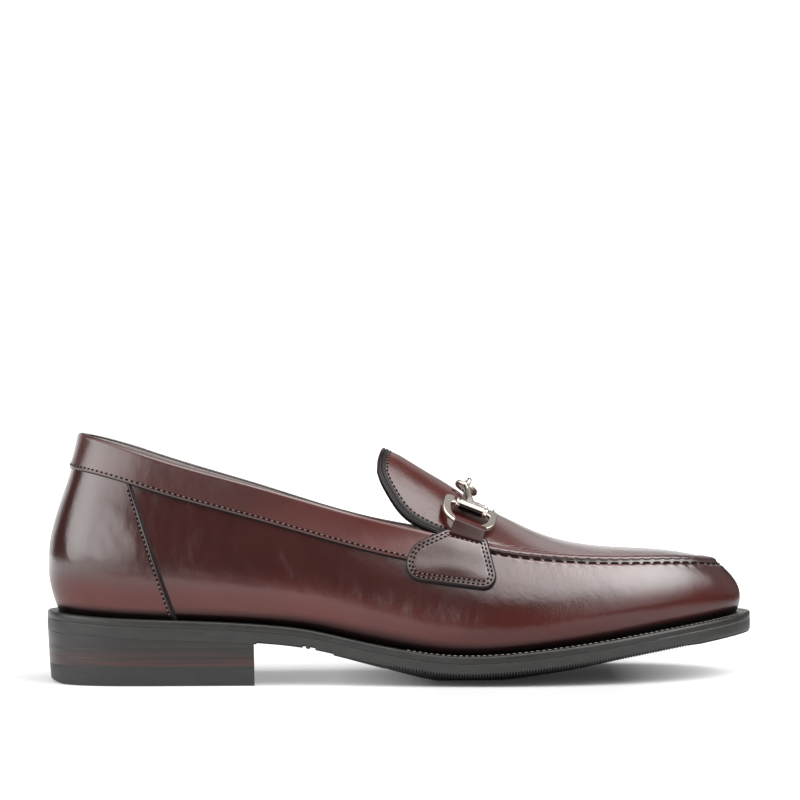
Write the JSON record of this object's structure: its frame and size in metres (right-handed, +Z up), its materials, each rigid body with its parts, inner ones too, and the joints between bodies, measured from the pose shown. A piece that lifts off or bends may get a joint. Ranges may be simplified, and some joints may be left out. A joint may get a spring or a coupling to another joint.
{
  "type": "buckle loafer",
  "caption": "Right-foot leather loafer with raised apron toe, bound tongue, stacked heel and a snaffle bit held by strap tabs across the instep.",
  "frame": {"origin": "on the floor, under the middle of the shoe's length and width", "axes": "+X to the toe, -Y to the outer (lateral) side, +Z up"},
  "size_m": [0.3006, 0.1025, 0.1055],
  "materials": {
    "upper_leather": "polished dark burgundy calf",
    "edge_leather": "dark inked edge",
    "lining_leather": "matt pale lining leather",
    "welt_leather": "matt charcoal welt",
    "sole_rubber": "matt charcoal rubber",
    "heel_leather": "stained stacked leather",
    "heel_rubber": "matt black rubber",
    "bit_metal": "pale gold plating, polished"
  },
  "bodies": {
    "root": {"outsole": "sole_rubber", "welt": "welt_leather", "heel_lift_upper": "heel_leather", "heel_lift_middle": "heel_leather", "heel_lift_lower": "heel_leather", "heel_top_piece": "heel_rubber", "insole": "lining_leather", "upper": "upper_leather", "heel_counter": "upper_leather", "collar_band": "upper_leather", "tongue_binding": "edge_leather", "tab_lateral": "upper_leather", "tab_medial": "upper_leather", "strap_loop_lateral": "upper_leather", "strap_loop_medial": "upper_leather", "d_ring_lateral": "bit_metal", "d_ring_medial": "bit_metal", "bit_bar_lateral": "bit_metal", "bit_bar_medial": "bit_metal"}
  },
  "joints": []
}
